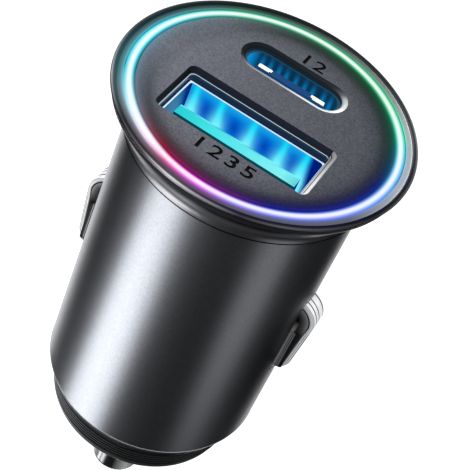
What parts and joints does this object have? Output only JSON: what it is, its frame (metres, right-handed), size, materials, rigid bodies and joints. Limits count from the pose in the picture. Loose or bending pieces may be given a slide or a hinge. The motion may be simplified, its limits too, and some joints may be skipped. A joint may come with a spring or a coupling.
{
  "type": "car usb charger plug",
  "caption": "Metal socket charger with a wide and an oval port in a lit flared head, sprung side contacts and a sprung tip.",
  "frame": {"origin": "on the barrel's axis, at the seam where the head meets the barrel", "axes": "+Z along the axis out of the port face, the tip points to -Z; +X along the ports' long side; +Y from the wide port towards the oval port"},
  "size_m": [0.0256, 0.0256, 0.051],
  "materials": {
    "dark_metal": "satin dark anodised",
    "barrel_metal": "satin grey anodised",
    "face_metal": "fine matt dark grey",
    "clear_ring": "clear, lit from behind",
    "lamp": "lit lamp",
    "board": "solder mask",
    "port_metal": "nickel plated",
    "blue_plastic": "blue moulding",
    "dark_blue_plastic": "dark moulding",
    "gilt": "gold plated",
    "black_plastic": "black moulding",
    "ferrite": "pressed powder block",
    "can_metal": "bright can",
    "ceramic_white": "white ceramic",
    "white_plastic": "plain moulding",
    "contact_metal": "nickel plated strip",
    "spring_steel": "drawn wire",
    "nose_plastic": "dark grey moulding",
    "tip_metal": "nickel plated"
  },
  "bodies": {
    "charger_body": {"head_collar": "dark_metal", "barrel": "barrel_metal", "face_plate": "face_metal", "light_ring": "clear_ring", "lamp_board": "board", "ring_lamp_1": "lamp", "ring_lamp_2": "lamp", "ring_lamp_3": "lamp", "ring_lamp_4": "lamp", "ring_lamp_5": "lamp", "ring_lamp_6": "lamp", "ring_lamp_7": "lamp", "ring_lamp_8": "lamp", "usb_a_shell": "port_metal", "usb_a_insulator": "blue_plastic", "usb_a_contact_1": "gilt", "usb_a_contact_2": "gilt", "usb_a_contact_3": "gilt", "usb_a_contact_4": "gilt", "usb_c_shell": "port_metal", "usb_c_insulator": "dark_blue_plastic", "usb_c_midplate": "port_metal", "usb_c_upper_contacts": "gilt", "usb_c_lower_contacts": "gilt", "usb_c_riser": "black_plastic", "main_board": "board", "lamp_header": "black_plastic", "power_inductor": "ferrite", "input_capacitor": "can_metal", "output_capacitor": "can_metal", "converter_chip": "black_plastic", "port_chip": "black_plastic", "fuse": "ceramic_white", "ground_strap": "gilt", "inner_carrier": "white_plastic", "contact_spring_left": "spring_steel", "contact_spring_right": "spring_steel", "nose_cap": "nose_plastic", "tip_spring": "spring_steel", "positive_terminal": "gilt"},
    "left_contact": {"contact_left": "contact_metal"},
    "right_contact": {"contact_right": "contact_metal"},
    "tip": {"tip_contact": "tip_metal"}
  },
  "joints": [
    {"name": "left_contact_press", "type": "slide", "parent": "charger_body", "child": "left_contact", "axis": [1, 0, 0], "range_m": [0, 0.0014], "stiffness_N_per_m": 60, "springref_m": -0.01, "deforming": ["contact_spring_left"]},
    {"name": "right_contact_press", "type": "slide", "parent": "charger_body", "child": "right_contact", "axis": [-1, 0, 0], "range_m": [0, 0.0014], "stiffness_N_per_m": 60, "springref_m": -0.01, "deforming": ["contact_spring_right"]},
    {"name": "tip_press", "type": "slide", "parent": "charger_body", "child": "tip", "axis": [0, 0, 1], "range_m": [0, 0.0024], "stiffness_N_per_m": 150, "springref_m": -0.01, "deforming": ["tip_spring"]}
  ]
}
